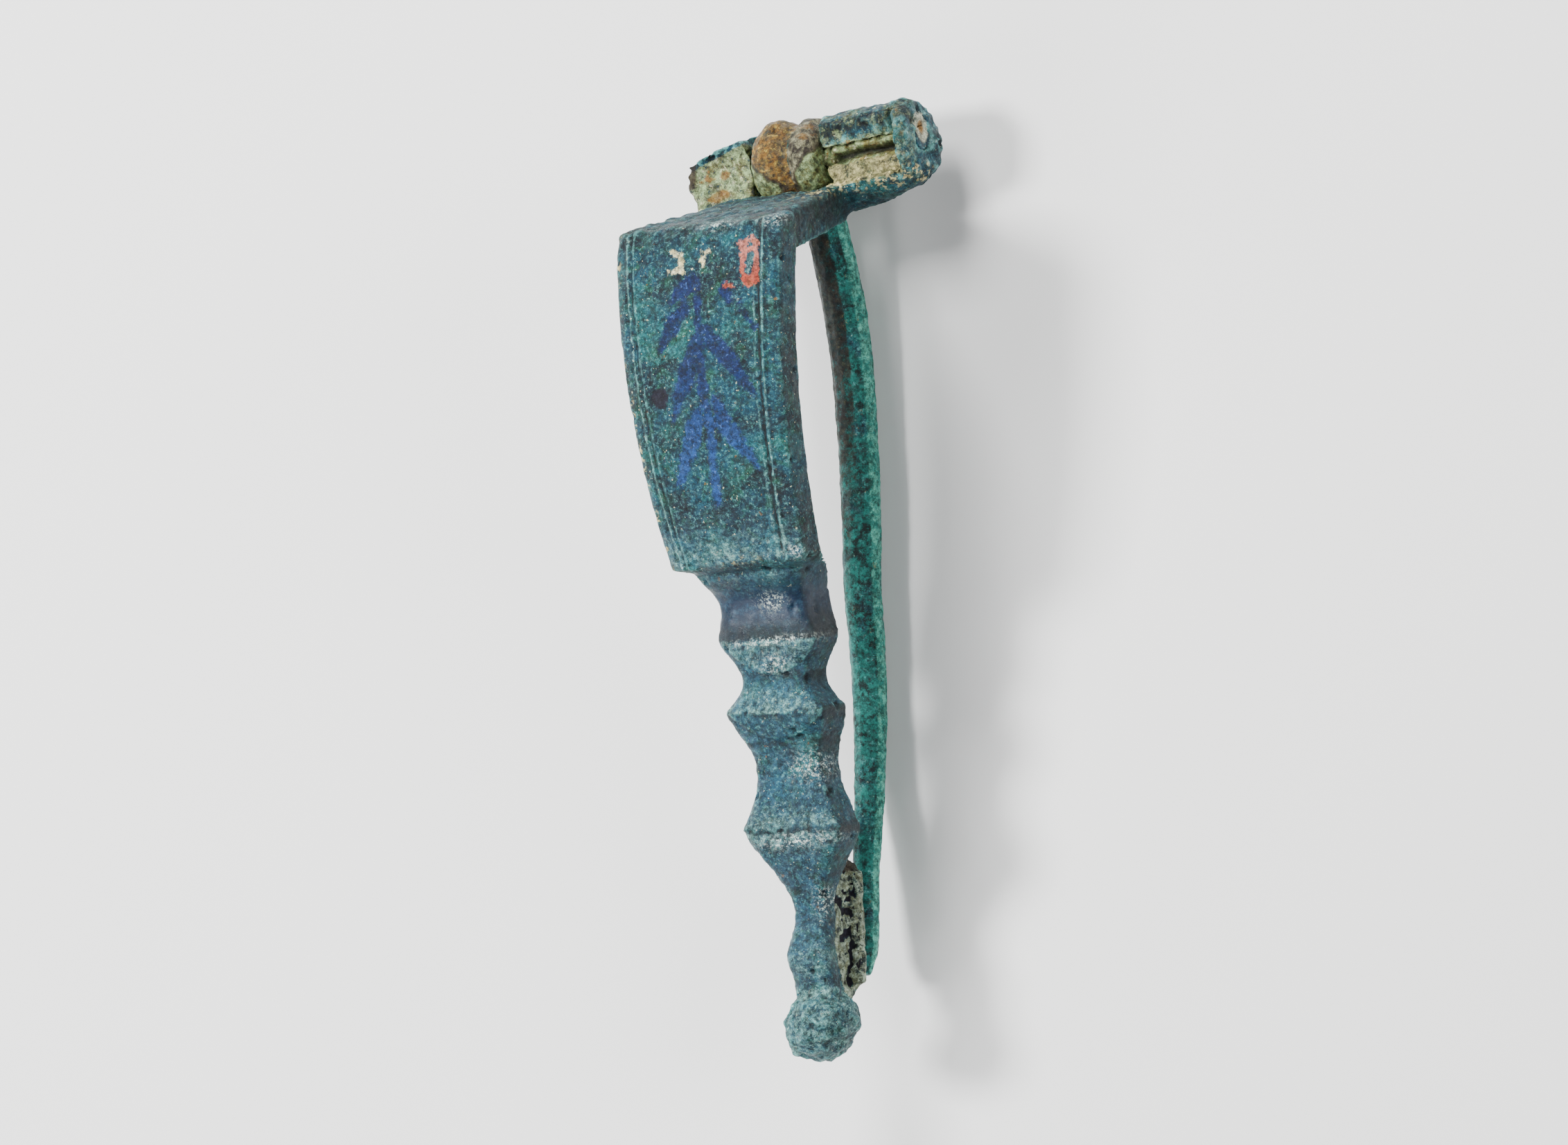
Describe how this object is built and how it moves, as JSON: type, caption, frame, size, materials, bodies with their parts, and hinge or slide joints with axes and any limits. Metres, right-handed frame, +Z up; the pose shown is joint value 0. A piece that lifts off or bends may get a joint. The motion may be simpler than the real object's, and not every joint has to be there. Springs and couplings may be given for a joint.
{
  "type": "fibula brooch",
  "caption": "Hinged bow brooch lying on its back: trough crossbar, arched inlaid panel, three mouldings, knob, catchplate and a swinging pin.",
  "frame": {"origin": "on the table under the middle of the brooch's box, the brooch lying on its back as it comes to rest", "axes": "+Y towards the crossbar, +X towards the right wing seen from the front, +Z up from the table, out of the front of the bow"},
  "size_m": [0.0156, 0.055, 0.017],
  "materials": {
    "body_bronze": "blue-green patina over copper alloy, with enamel",
    "pin_bronze": "verdigris over copper alloy",
    "rusted_iron": "rust"
  },
  "bodies": {
    "brooch": {"brooch_body": "body_bronze", "axis_bar": "rusted_iron"},
    "pin": {"pin": "pin_bronze"}
  },
  "joints": [
    {"name": "pin_hinge", "type": "hinge", "parent": "brooch", "child": "pin", "pos_m": [-0.00028, 0.02444, 0.00345], "axis": [0.9849, 0.08, 0.1536], "range_deg": [0, 95]}
  ]
}
